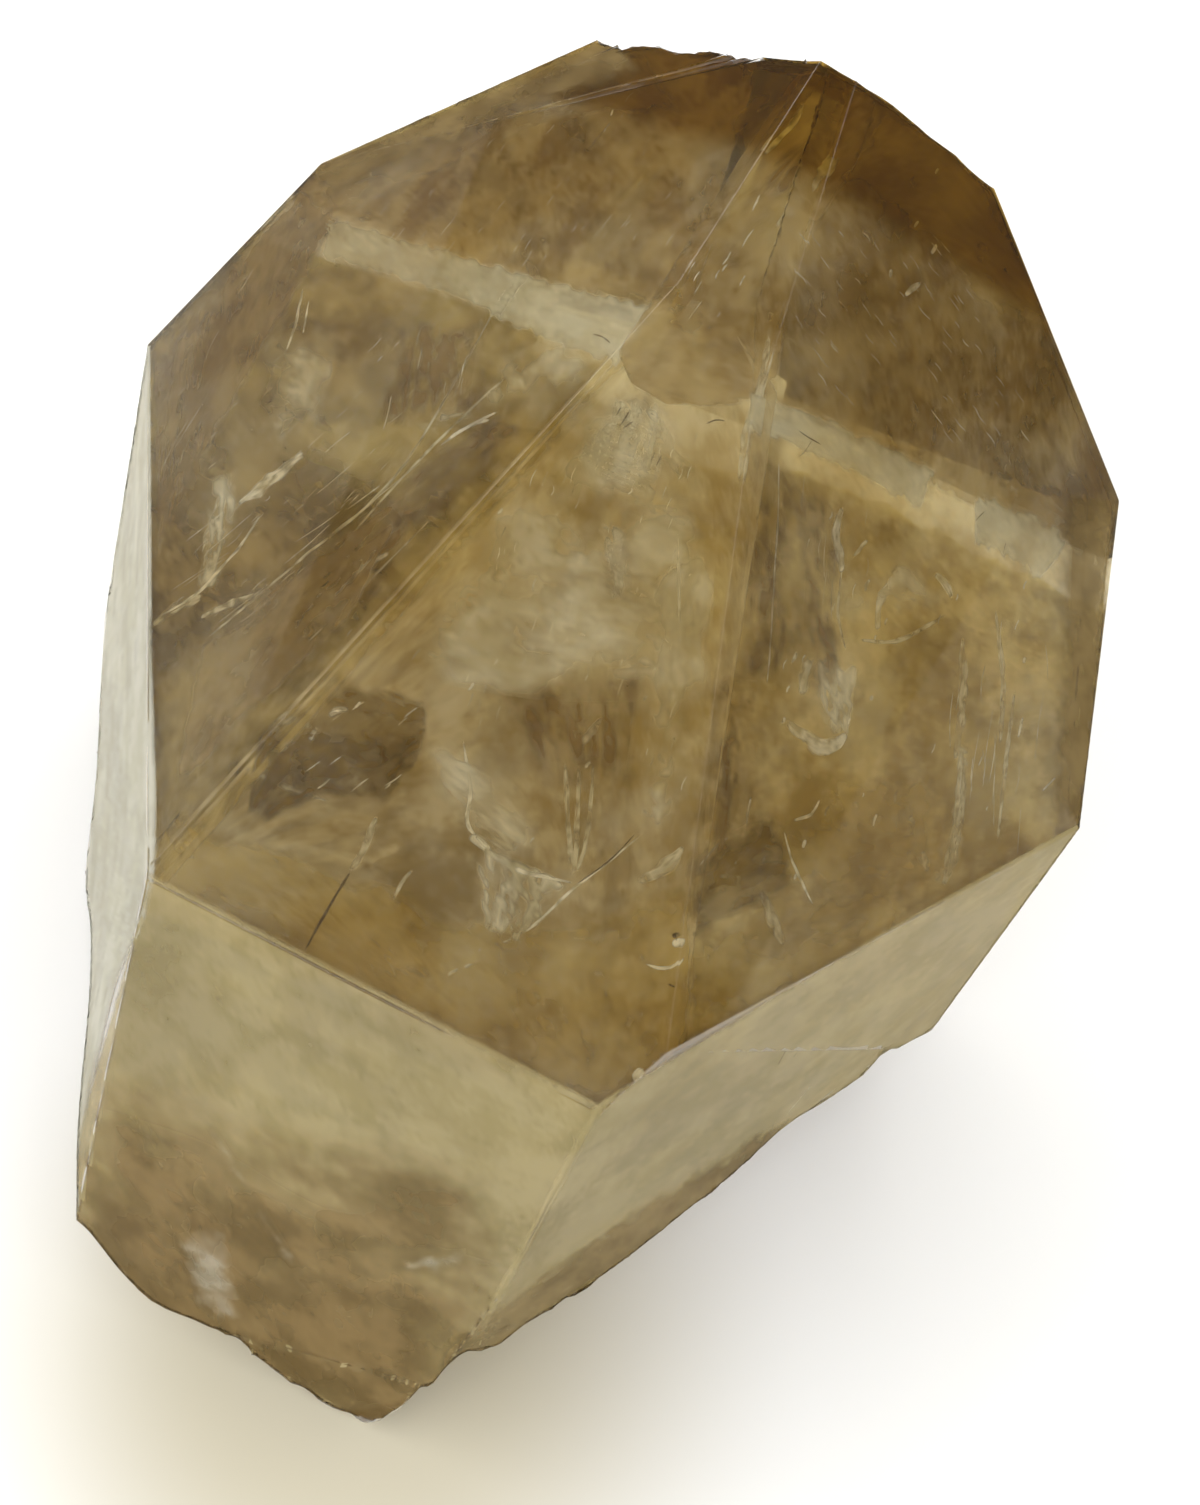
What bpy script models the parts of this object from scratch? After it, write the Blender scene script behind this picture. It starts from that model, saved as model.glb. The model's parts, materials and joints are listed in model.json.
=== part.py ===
"""A smoky citrine point: one quartz crystal, broken off its rock at the base and chipped at the tip.

The crystal is worked out in its own axes, with +Z up the long c axis and the origin where that
axis meets the table. It is a six-sided prism closed by rhombohedral faces. Three rough breaks and
a few chips are then cut from it. It leans as it lies on the flat of its broken base.
"""

import math

import bmesh
import bpy
import numpy as np
from mathutils import Matrix, Vector, noise

MM = 0.001

# How the crystal lies: its c axis leans by LEAN towards HEADING, and is turned about itself by SPIN.
HEADING = 51.4
LEAN = 26.5
SPIN = 73.6

# Faces of the prism: the compass bearing of each about the c axis, and its distance from that axis.
PRISM_FACES = {
    "right": (0, 36.5),
    "left": (60, 33.7),
    "front": (120, 42.2),
    "side": (180, 36.5),
    "far": (240, 33.7),
    "rear": (300, 14.3),
}

# Faces of the tip: bearing, lean of the face's normal from the c axis, distance from the origin.
TIP_FACES = {
    "above_left": (60, 51.8, 48.8),
    "above_front": (120, 48.0, 55.2),
    "above_side": (180, 49.4, 53.5),
    "narrow_top": (132.8, 38.3, 62.0),
}

# The rear face grew in two levels: past REAR_STEP_AT along the face it is REAR_STEP lower.
REAR_STEP_AT = 2.0
REAR_STEP = 2.4

# The rough break across the summit, a plane with a little relief.
SUMMIT_BREAK = (-56.2, 44.6, 60.8)

# The rear break starts at this height up the c axis, higher towards the far edge. A smooth
# lip slants in at 45 degrees, and below it a rough wall goes down a little inside the rear face.
REAR_LIP_HEIGHT = 45.8
REAR_LIP_RISE = 0.16
REAR_LIP_DEPTH = 2.5
REAR_WALL_SLOPE = 5.0

# Where the broken base leaves each face: distance along the face from its middle, height up the
# c axis. Listed round the crystal from the right-hand edge, with the hidden sides last.
BASE_RIM = {
    "left": [(-22, 4), (-8, -1), (-4, -9.5), (6, -3), (13, -3), (18.5, -10), (23.5, -11.5)],
    "front": [(-14, -10.5), (-11, -13.5), (-7, -16.5), (-2.5, -16), (2.5, -17), (7, -18.5),
              (11.8, -18.9), (14.2, -17), (15.4, -13.7), (16.7, -5)],
    "side": [(-26.7, -2.6), (-23, -4.3), (-18, -2), (-14, -2), (-9, -0.6), (-4.6, 2),
             (-0.6, 5.6), (3.6, 8.7), (9.8, 8.2), (13.4, 12.6), (17, 11.8)],
    "right": [(0, 2), (12, 5)],
    "far": [(-17, 12), (0, 11)],
}
# Depth of the break's surface inside the rim, on a ring this far in from it.
BREAK_FLAT_INSET = 13.0
BREAK_FLAT_DEPTH = -1.2

# Chips knocked off corners: a point on the corner, the bearing and lean of the chip's flat, and
# how deep it goes. The last one is a worn bevel along the foot of an edge.
CHIPS = [
    ((-9.7, 44.6, 37.0), (88, 68), 0.9),
    ((-36.5, 27.7, 36.6), (148, 72), 0.6),
    ((-6.6, -17.5, 74.5), (-100, 56), 0.5),
    ((-36.5, 27.6, 9.0), (160, 92.8), 0.0),
]

BLOCK = 240.0
CITRINE = (0.42, 0.33, 0.17, 1.0)


def bearing_normal(bearing, lean=90.0):
    """Unit vector at this bearing about the c axis, tipped from it by lean degrees."""
    turn, tip = math.radians(bearing), math.radians(lean)
    return Vector((math.cos(turn) * math.sin(tip), math.sin(turn) * math.sin(tip), math.cos(tip)))


def along_face(bearing):
    """Unit vector along a prism face, level in the crystal's own axes."""
    turn = math.radians(bearing)
    return Vector((-math.sin(turn), math.cos(turn), 0))


def face_point(name, along, height):
    """A point on a prism face, from its place along the face and up the c axis."""
    bearing, distance = PRISM_FACES[name]
    return bearing_normal(bearing) * distance + along_face(bearing) * along + Vector((0, 0, height))


def slice_off(mesh, normal, distance):
    """Cuts away all that lies past a plane, and closes the cut with a flat face."""
    everything = mesh.verts[:] + mesh.edges[:] + mesh.faces[:]
    cut = bmesh.ops.bisect_plane(
        mesh, geom=everything, plane_co=normal * distance * MM, plane_no=normal, clear_outer=True
    )
    edges = [item for item in cut["geom_cut"] if isinstance(item, bmesh.types.BMEdge)]
    if edges:
        bmesh.ops.contextual_create(mesh, geom=edges)


def grown_crystal():
    """The crystal as it grew: a block sliced by every face, then the chips."""
    mesh = bmesh.new()
    bmesh.ops.create_cube(mesh, size=BLOCK * MM)
    for bearing, distance in PRISM_FACES.values():
        slice_off(mesh, bearing_normal(bearing), distance)
    for bearing, lean, distance in TIP_FACES.values():
        slice_off(mesh, bearing_normal(bearing, lean), distance)
    for corner, facing, depth in CHIPS:
        outward = bearing_normal(*facing)
        slice_off(mesh, outward, outward.dot(Vector(corner)) - depth)
    return mesh


def relief(point, size, height):
    """Broken quartz: broad shells with finer ripples on them."""
    broad = noise.noise(point / size)
    fine = noise.noise(point / (0.3 * size) + Vector((7.3, 1.9, 4.1)))
    return height * (broad + 0.3 * fine)


def spline_through(points, heights):
    """A smooth height field that passes through scattered points (thin plate spline)."""
    points = np.array(points, float)

    def bend(distance):
        return np.where(distance > 0, distance**2 * np.log(np.maximum(distance, 1e-9)), 0)

    count = len(points)
    apart = np.linalg.norm(points[:, None] - points[None], axis=2)
    flat = np.c_[np.ones(count), points]
    system = np.block([[bend(apart), flat], [flat.T, np.zeros((3, 3))]])
    solution = np.linalg.solve(system, np.r_[heights, 0, 0, 0])

    def height_at(x, y):
        reach = np.hypot(points[:, 0] - x, points[:, 1] - y)
        return float(bend(reach) @ solution[:count] + solution[count:] @ (1, x, y))

    return height_at


def sheet_block(name, xs, ys, height_at, back, placing):
    """A closed cutter: a relief sheet over a grid, walled and backed at the height called back."""
    mesh = bmesh.new()
    top = [[mesh.verts.new(Vector((x, y, height_at(x, y))) * MM) for x in xs] for y in ys]
    for low, high in zip(top, top[1:]):
        for i in range(len(xs) - 1):
            mesh.faces.new((low[i], low[i + 1], high[i + 1], high[i]))
    rim = bmesh.ops.extrude_edge_only(mesh, edges=[edge for edge in mesh.edges if edge.is_boundary])
    new_edges = [item for item in rim["geom"] if isinstance(item, bmesh.types.BMEdge)]
    for vertex in [item for item in rim["geom"] if isinstance(item, bmesh.types.BMVert)]:
        vertex.co.z = back * MM
    bmesh.ops.contextual_create(mesh, geom=new_edges)
    bmesh.ops.recalc_face_normals(mesh, faces=mesh.faces[:])
    cutter = as_object(name, mesh)
    cutter.matrix_world = placing
    cutter.hide_render = True
    cutter.display_type = "WIRE"
    return cutter


def as_object(name, mesh):
    data = bpy.data.meshes.new(name)
    mesh.to_mesh(data)
    mesh.free()
    thing = bpy.data.objects.new(name, data)
    bpy.context.collection.objects.link(thing)
    return thing


def lying():
    """The turn from the crystal's own axes to the way it lies on the table."""
    turns = [
        Matrix.Rotation(math.radians(HEADING), 4, "Z"),
        Matrix.Rotation(math.radians(LEAN), 4, "Y"),
        Matrix.Rotation(math.radians(SPIN), 4, "Z"),
    ]
    return turns[0] @ turns[1] @ turns[2]


def plane_frame(normal, across):
    """Axes with local Z along normal and local X along across."""
    along = across.normalized()
    upward = normal.cross(along)
    return Matrix((along, upward, normal)).transposed().to_4x4()


def base_break():
    """The break that freed the crystal from its rock, as a block below its rough surface."""
    turn = lying().to_3x3()
    rim = [turn @ face_point(face, *place) for face, places in BASE_RIM.items() for place in places]
    middle = sum(rim, Vector()) / len(rim)
    inner = []
    for point in rim[::2]:
        inward = Vector((middle.x - point.x, middle.y - point.y))
        inner.append(Vector((point.x, point.y)) + inward.normalized() * BREAK_FLAT_INSET)
    inner.append(Vector((middle.x, middle.y)))
    places = [(point.x, point.y) for point in rim] + [(point.x, point.y) for point in inner]
    heights = [point.z for point in rim] + [BREAK_FLAT_DEPTH] * len(inner)
    surface = spline_through(places, heights)

    def height_at(x, y):
        return surface(x, y) + relief(Vector((x, y, 3.0)), 9.0, 0.5)

    steps_x = np.arange(-46, 62, 1.8)
    steps_y = np.arange(-56, 56, 1.8)
    return sheet_block("base_break", steps_x, steps_y, height_at, -60.0, Matrix.Identity(4))


def rear_break():
    """The break in the rear: a slanted smooth lip, then a rough wall down to the base."""
    bearing, level = PRISM_FACES["rear"]
    wall_slope = math.tan(math.radians(REAR_WALL_SLOPE))

    def height_at(along, height):
        stepped = along < REAR_STEP_AT
        lip = REAR_LIP_HEIGHT - REAR_LIP_RISE * min(along, 0.0)
        below = height - lip
        reach = level - REAR_STEP * stepped
        if below > -REAR_LIP_DEPTH:
            return reach + below
        past_lip = -(below + REAR_LIP_DEPTH)
        rough = relief(Vector((along, height, 40.0)), 11.0, 1.3) * min(1.0, past_lip / 6)
        return reach - REAR_LIP_DEPTH - past_lip * wall_slope + rough

    lower_side = np.arange(-44, REAR_STEP_AT - 1, 2.0)
    upper_side = np.arange(REAR_STEP_AT, 46, 2.0)
    alongs = np.r_[lower_side, REAR_STEP_AT - 0.1, upper_side]
    heights = np.r_[np.arange(-40, 38, 2.2), np.arange(38, 62, 0.8)]
    frame = plane_frame(bearing_normal(bearing), along_face(bearing))
    return sheet_block("rear_break", alongs, heights, height_at, 60.0, lying() @ frame)


def rear_step():
    """The lower level of the rear face, as a block beside it."""
    bearing, level = PRISM_FACES["rear"]
    frame = plane_frame(bearing_normal(bearing), along_face(bearing))

    def height_at(along, height):
        return level - REAR_STEP

    alongs, heights = (-60.0, REAR_STEP_AT), (-60.0, 120.0)
    return sheet_block("rear_step", alongs, heights, height_at, 60.0, lying() @ frame)


def summit_break():
    """The rough break that took the summit off."""
    bearing, lean, distance = SUMMIT_BREAK
    normal = bearing_normal(bearing, lean)

    def height_at(x, y):
        return distance + relief(Vector((x, y, 11.0)), 5.0, 0.45)

    steps = np.arange(-40, 40, 1.0)
    frame = plane_frame(normal, along_face(bearing))
    return sheet_block("summit_break", steps, steps + 30, height_at, 110.0, lying() @ frame)


def table_block():
    """Everything below the table: it leaves the flat that the crystal lies on."""
    mesh = bmesh.new()
    bmesh.ops.create_cube(mesh, size=BLOCK * MM)
    bmesh.ops.translate(mesh, verts=mesh.verts, vec=(0, 0, -BLOCK / 2 * MM))
    cutter = as_object("table_block", mesh)
    cutter.hide_render = True
    cutter.display_type = "WIRE"
    return cutter


def citrine_material():
    material = bpy.data.materials.new("smoky_citrine")
    material.use_nodes = True
    shader = material.node_tree.nodes["Principled BSDF"]
    shader.inputs["Base Color"].default_value = CITRINE
    shader.inputs["Roughness"].default_value = 0.08
    shader.inputs["Metallic"].default_value = 0.0
    shader.inputs["IOR"].default_value = 1.55
    material.diffuse_color = CITRINE
    return material


def centre_on_origin(crystal, pieces):
    """Moves all of it, so that the origin is at the middle of the box that holds the crystal."""
    bpy.context.view_layer.update()
    evaluated = crystal.evaluated_get(bpy.context.evaluated_depsgraph_get())
    corners = [evaluated.matrix_world @ vertex.co for vertex in evaluated.data.vertices]
    low = Vector([min(corner[i] for corner in corners) for i in range(3)])
    high = Vector([max(corner[i] for corner in corners) for i in range(3)])
    shift = Matrix.Translation((-(low.x + high.x) / 2, -(low.y + high.y) / 2, -low.z))
    for piece in pieces:
        piece.matrix_world = shift @ piece.matrix_world


def build():
    for thing in list(bpy.data.objects):
        bpy.data.objects.remove(thing, do_unlink=True)
    crystal = as_object("citrine_crystal", grown_crystal())
    crystal.matrix_world = lying()
    crystal.data.materials.append(citrine_material())
    cutters = [rear_step(), rear_break(), summit_break(), base_break(), table_block()]
    for cutter in cutters:
        cut = crystal.modifiers.new(cutter.name, "BOOLEAN")
        cut.operation = "DIFFERENCE"
        cut.object = cutter
    centre_on_origin(crystal, [crystal] + cutters)


build()
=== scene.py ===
import json
import math
import random

import bmesh
import bpy
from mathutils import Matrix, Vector, noise

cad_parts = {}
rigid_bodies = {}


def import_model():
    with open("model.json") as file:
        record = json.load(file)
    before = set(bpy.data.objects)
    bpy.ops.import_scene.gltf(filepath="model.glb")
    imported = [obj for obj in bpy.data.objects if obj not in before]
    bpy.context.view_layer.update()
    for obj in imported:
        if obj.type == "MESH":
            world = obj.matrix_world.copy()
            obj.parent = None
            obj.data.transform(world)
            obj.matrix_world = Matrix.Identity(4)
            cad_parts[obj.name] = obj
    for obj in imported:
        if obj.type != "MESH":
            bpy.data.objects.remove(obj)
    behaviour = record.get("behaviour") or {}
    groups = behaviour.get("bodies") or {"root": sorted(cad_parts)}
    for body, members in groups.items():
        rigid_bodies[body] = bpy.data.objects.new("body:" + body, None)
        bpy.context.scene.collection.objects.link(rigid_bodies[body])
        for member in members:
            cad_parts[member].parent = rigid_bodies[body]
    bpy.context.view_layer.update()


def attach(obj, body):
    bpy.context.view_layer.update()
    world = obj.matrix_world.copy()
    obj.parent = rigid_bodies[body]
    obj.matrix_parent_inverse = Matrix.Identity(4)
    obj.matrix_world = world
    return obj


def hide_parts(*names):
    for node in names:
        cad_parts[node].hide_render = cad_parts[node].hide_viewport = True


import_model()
MM = 0.001

# ---------------------------------------------------------------------------------------------
# Camera. A normal lens held by hand about 18 cm above the crystal, tilted a little forward, so that
# it looks down on the tip faces and sees the sides nearest to it.
# ---------------------------------------------------------------------------------------------
CAMERA_PLACE = Vector((3.97, -52.64, 179.66)) * MM
CAMERA_TILT = math.radians(19.97)
CAMERA_LENS = 50.04
SENSOR_WIDTH = 36.0
NEAREST = 0.005
FARTHEST = 20.0

bpy.ops.object.camera_add(location=CAMERA_PLACE, rotation=(CAMERA_TILT, 0, 0))
camera = bpy.context.object
camera.name = "camera"
camera.data.lens = CAMERA_LENS
camera.data.sensor_width = SENSOR_WIDTH
camera.data.clip_start = NEAREST
camera.data.clip_end = FARTHEST
bpy.context.scene.camera = camera


# ---------------------------------------------------------------------------------------------
# The crystal. One clear, smoky quartz point. Its grown faces are flat and glossy with worn
# edges. The breaks at its base, rear and summit are shelly: the solid's coarse steps are
# rounded here and get the fine ripples that it has no room for.
# ---------------------------------------------------------------------------------------------
FLAT_AREA = 30.0 * MM * MM
PLANE_STEP = 0.2 * MM
FLAT_ANGLE = math.radians(0.3)
JOIN_GAP = 0.002 * MM
FACING_DOWN = -0.99
ON_TABLE = 0.1 * MM
EDGE_ANGLE = math.radians(12)
EDGE_LIFT = 0.5 * MM
EDGE_ROUND = 0.6
EDGE_SHORTEST = 2.0 * MM
EDGE_WEAR = 0.07 * MM
GROWTH_AXIS = Vector((0.278, 0.349, 0.895))
SIDE_LEAN = 0.35
BREAK_CUTS = 2
BREAK_ROUNDS = 8
RIPPLE_SIZE = 2.2 * MM
RIPPLE_HEIGHT = 0.35 * MM
SMOKE_COLOUR = (0.70, 0.59, 0.10, 1)
SMOKE_DENSITY = 25.0
CLOUD_DARK = (0.72, 0.60, 0.36, 1)
CLOUD_PALE = (0.84, 0.76, 0.56, 1)
CLOUD_SIZE = 14 * MM
CLOUD_STEP = (0.35, 0.65)
HAZE_LEAST = 0.005
HAZE_MOST = 0.035
SPECKLE = 0.03
SPECKLE_SIZE = 0.9 * MM
SPECKLE_STEP = (0.45, 0.7)
SIDE_HAZE = 0.10
# Towards the foot the quartz is hazier and painted darker: painted shade near the table.
ROOT_HAZE = 0.08
ROOT_RISE = (-18, -4)
# The tip band is painted shade: the rear of the tip is coloured dark and kept clear of cloud.
TIP_BAND_TOWARDS = (0.42, 0.79, 0.44)
TIP_BAND_START = 57.0
TIP_BAND_END = 59.0
TIP_PAINTED_SHADE = (0.40, 0.25, 0.04, 1)
SIDE_DARK = (0.40, 0.27, 0.04, 1)
SIDE_PALE = (0.64, 0.50, 0.13, 1)
ROOT_PAINTED_SHADE = (0.24, 0.14, 0.02, 1)
QUARTZ_IOR = 1.55
FACE_ROUGHNESS = 0.02
REAR_ROUGHNESS = 0.10
SATIN_SIZE = 1.1 * MM
SATIN_STEP = (0.3, 0.7)
SATIN_ROUGHNESS = (0.15, 0.40)


def only(thing):
    """Makes this the one selected, active object."""
    bpy.ops.object.select_all(action="DESELECT")
    thing.select_set(True)
    bpy.context.view_layer.objects.active = thing


def plane_key(face):
    """Faces in one plane share this key."""
    normal = face.normal
    return (round(normal.x, 2), round(normal.y, 2), round(normal.z, 2),
            round(normal.dot(face.center) / PLANE_STEP))


def flat_faces(mesh):
    """The faces that belong to a large flat, as a set of indices."""
    groups = {}
    for face in mesh.polygons:
        groups.setdefault(plane_key(face), []).append(face)
    flat = set()
    for faces in groups.values():
        if sum(face.area for face in faces) > FLAT_AREA:
            flat.update(face.index for face in faces)
    return flat


def pick_faces(thing, wanted):
    """Selects these faces and leaves edit mode open."""
    bpy.ops.object.mode_set(mode="EDIT")
    bpy.ops.mesh.select_mode(type="FACE")
    bpy.ops.mesh.select_all(action="DESELECT")
    bpy.ops.object.mode_set(mode="OBJECT")
    for face in thing.data.polygons:
        face.select = face.index in wanted
    bpy.ops.object.mode_set(mode="EDIT")


def apply_modifiers(thing):
    """Applies all of a piece's modifiers, in order."""
    only(thing)
    for modifier in list(thing.modifiers):
        bpy.ops.object.modifier_apply(modifier=modifier.name)


def crystal_mesh(copy_name):
    """The CAD node's mesh, joined up, with worn edges and fine breaks."""
    only(bpy.data.objects["citrine_crystal"])
    bpy.ops.object.duplicate()
    copy = bpy.context.object
    copy.name = copy_name
    bpy.ops.object.mode_set(mode="EDIT")
    bpy.ops.mesh.select_all(action="SELECT")
    bpy.ops.mesh.remove_doubles(threshold=JOIN_GAP)
    bpy.ops.object.mode_set(mode="OBJECT")

    pick_faces(copy, flat_faces(copy.data))
    bpy.ops.mesh.dissolve_limited(angle_limit=FLAT_ANGLE)
    bpy.ops.object.mode_set(mode="OBJECT")

    flat = flat_faces(copy.data)
    broken = copy.data.attributes.new("broken", "FLOAT", "FACE")
    for face in copy.data.polygons:
        on_table = face.normal.z < FACING_DOWN and face.center.z < ON_TABLE
        broken.data[face.index].value = float(face.index not in flat or on_table)
    side = copy.data.attributes.new("side", "FLOAT", "FACE")
    etched = copy.data.attributes.new("etched", "FLOAT", "FACE")
    for face in copy.data.polygons:
        side.data[face.index].value = float(abs(face.normal.dot(GROWTH_AXIS)) < SIDE_LEAN)
        etched.data[face.index].value = float(face.normal.dot(face.center - CAMERA_PLACE) > 0)

    bpy.ops.object.mode_set(mode="EDIT")
    bpy.ops.mesh.select_mode(type="EDGE")
    bpy.ops.mesh.select_all(action="DESELECT")
    edit = bmesh.from_edit_mesh(copy.data)
    for edge in edit.edges:
        grown = all(face.index in flat for face in edge.link_faces)
        lifted = min(vert.co.z for vert in edge.verts) > EDGE_LIFT
        if grown and lifted and edge.calc_length() > EDGE_SHORTEST and edge.calc_face_angle() > EDGE_ANGLE:
            edge.select_set(True)
    bmesh.update_edit_mesh(copy.data)
    bpy.ops.mesh.bevel(offset=EDGE_WEAR, segments=2, profile=EDGE_ROUND, clamp_overlap=False)
    bpy.ops.object.mode_set(mode="OBJECT")

    broken = copy.data.attributes["broken"].data
    rough = {face.index for face in copy.data.polygons
             if broken[face.index].value > 0.5 and face.center.z > ON_TABLE}
    pick_faces(copy, rough)
    bpy.ops.mesh.subdivide(number_cuts=BREAK_CUTS, smoothness=0)
    bpy.ops.mesh.select_less()
    bpy.ops.object.mode_set(mode="OBJECT")
    inner = [vert.index for vert in copy.data.vertices if vert.select]
    group = copy.vertex_groups.new(name="inner_break")
    group.add(inner, 1.0, "REPLACE")

    smooth = copy.modifiers.new("round_steps", "SMOOTH")
    smooth.vertex_group = "inner_break"
    smooth.factor = 0.5
    smooth.iterations = BREAK_ROUNDS
    ripples = bpy.data.textures.new("ripples", "CLOUDS")
    ripples.noise_scale = RIPPLE_SIZE
    ripples.noise_depth = 2
    displace = copy.modifiers.new("ripples", "DISPLACE")
    displace.texture = ripples
    displace.texture_coords = "LOCAL"
    displace.vertex_group = "inner_break"
    displace.strength = -RIPPLE_HEIGHT
    displace.mid_level = 0.0
    apply_modifiers(copy)

    bpy.ops.object.mode_set(mode="EDIT")
    bpy.ops.mesh.select_all(action="SELECT")
    bpy.ops.mesh.quads_convert_to_tris()
    bpy.ops.mesh.normals_make_consistent(inside=False)
    bpy.ops.object.mode_set(mode="OBJECT")
    for face in copy.data.polygons:
        face.use_smooth = copy.data.attributes["broken"].data[face.index].value > 0.5
    return copy


def ramp(tree, source, low, high, out_low=0.0, out_high=1.0):
    """A smooth step of source between low and high."""
    step = tree.nodes.new("ShaderNodeMapRange")
    step.interpolation_type = "SMOOTHSTEP"
    for name, value in zip(("From Min", "From Max", "To Min", "To Max"), (low, high, out_low, out_high)):
        step.inputs[name].default_value = value
    tree.links.new(source, step.inputs["Value"])
    return step.outputs["Result"]


def cloud_noise(tree, place, size, detail):
    """Cloud noise whose lumps are about size metres across."""
    node = tree.nodes.new("ShaderNodeTexNoise")
    node.inputs["Scale"].default_value = 1.0 / size
    node.inputs["Detail"].default_value = detail
    tree.links.new(place, node.inputs["Vector"])
    return node.outputs["Fac"]


def beyond(tree, place, direction, start, end):
    """Grows from 0 to 1 between two distances along a direction."""
    dot = tree.nodes.new("ShaderNodeVectorMath")
    dot.operation = "DOT_PRODUCT"
    dot.inputs[1].default_value = Vector(direction).normalized()
    tree.links.new(place, dot.inputs[0])
    return ramp(tree, dot.outputs["Value"], start * MM, end * MM)


def sum_of(tree, kind, a, b):
    """Two values joined by a Math operation; each is a number or a socket."""
    node = tree.nodes.new("ShaderNodeMath")
    node.operation = kind
    for socket, value in zip(node.inputs, (a, b)):
        if isinstance(value, (int, float)):
            socket.default_value = value
        else:
            tree.links.new(value, socket)
    return node.outputs[0]


def blend(tree, share, under, over):
    """Mixes two colours; each is a tuple or a socket."""
    node = tree.nodes.new("ShaderNodeMix")
    node.data_type = "RGBA"
    tree.links.new(share, node.inputs["Factor"])
    colours = [socket for socket in node.inputs if socket.type == "RGBA"]
    for socket, value in zip(colours, (under, over)):
        if isinstance(value, tuple):
            socket.default_value = value
        else:
            tree.links.new(value, socket)
    return next(socket for socket in node.outputs if socket.type == "RGBA")


def quartz_material():
    """Smoky quartz: clear, with thin cloud; painted shade makes it dark and clear at the rear of the tip, and
    darker and hazier at its foot.
    """
    material = bpy.data.materials.new("smoky_quartz")
    material.use_nodes = True
    tree = material.node_tree
    surface = tree.nodes["Principled BSDF"]
    surface.inputs["IOR"].default_value = QUARTZ_IOR
    place = tree.nodes.new("ShaderNodeTexCoord").outputs["Object"]
    clouds = ramp(tree, cloud_noise(tree, place, CLOUD_SIZE, 2.0), *CLOUD_STEP)
    side = tree.nodes.new("ShaderNodeAttribute")
    side.attribute_name = "side"
    colour = blend(tree, clouds, CLOUD_DARK, CLOUD_PALE)
    colour = blend(tree, side.outputs["Fac"], colour, blend(tree, clouds, SIDE_DARK, SIDE_PALE))
    # Painted shade: a dark, clear band at the rear of the tip.
    band = beyond(tree, place, TIP_BAND_TOWARDS, TIP_BAND_START, TIP_BAND_END)
    colour = blend(tree, band, colour, TIP_PAINTED_SHADE)
    # Painted shade: darker and hazier towards the foot.
    root = beyond(tree, place, (0, 0, -1), *ROOT_RISE)
    colour = blend(tree, root, colour, ROOT_PAINTED_SHADE)
    tree.links.new(colour, surface.inputs["Base Color"])

    speckle = ramp(tree, cloud_noise(tree, place, SPECKLE_SIZE, 1.0), *SPECKLE_STEP, 0.0, SPECKLE)
    haze = sum_of(tree, "ADD", ramp(tree, clouds, 0.0, 1.0, HAZE_LEAST, HAZE_MOST), speckle)
    haze = sum_of(tree, "MULTIPLY", haze, sum_of(tree, "SUBTRACT", 1.0, band))
    haze = sum_of(tree, "ADD", haze, sum_of(tree, "MULTIPLY", side.outputs["Fac"], SIDE_HAZE))
    haze = sum_of(tree, "ADD", haze, sum_of(tree, "MULTIPLY", root, ROOT_HAZE))
    clear = sum_of(tree, "SUBTRACT", 1.0, haze)
    tree.links.new(clear, surface.inputs["Transmission Weight"])

    broken = tree.nodes.new("ShaderNodeAttribute")
    broken.attribute_name = "broken"
    satin = ramp(tree, cloud_noise(tree, place, SATIN_SIZE, 1.0), *SATIN_STEP, *SATIN_ROUGHNESS)
    rough = sum_of(tree, "MULTIPLY", broken.outputs["Fac"], satin)
    rough = sum_of(tree, "ADD", rough, FACE_ROUGHNESS)
    etched = tree.nodes.new("ShaderNodeAttribute")
    etched.attribute_name = "etched"
    rear = sum_of(tree, "MULTIPLY", etched.outputs["Fac"], REAR_ROUGHNESS)
    tree.links.new(sum_of(tree, "ADD", rough, rear), surface.inputs["Roughness"])

    smoke = tree.nodes.new("ShaderNodeVolumeAbsorption")
    smoke.inputs["Color"].default_value = SMOKE_COLOUR
    smoke.inputs["Density"].default_value = SMOKE_DENSITY
    tree.links.new(smoke.outputs["Volume"], tree.nodes["Material Output"].inputs["Volume"])
    return material


crystal = crystal_mesh("clear_crystal")
crystal.data.materials.clear()
crystal.data.materials.append(quartz_material())
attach(crystal, "root")
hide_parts("citrine_crystal")


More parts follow.
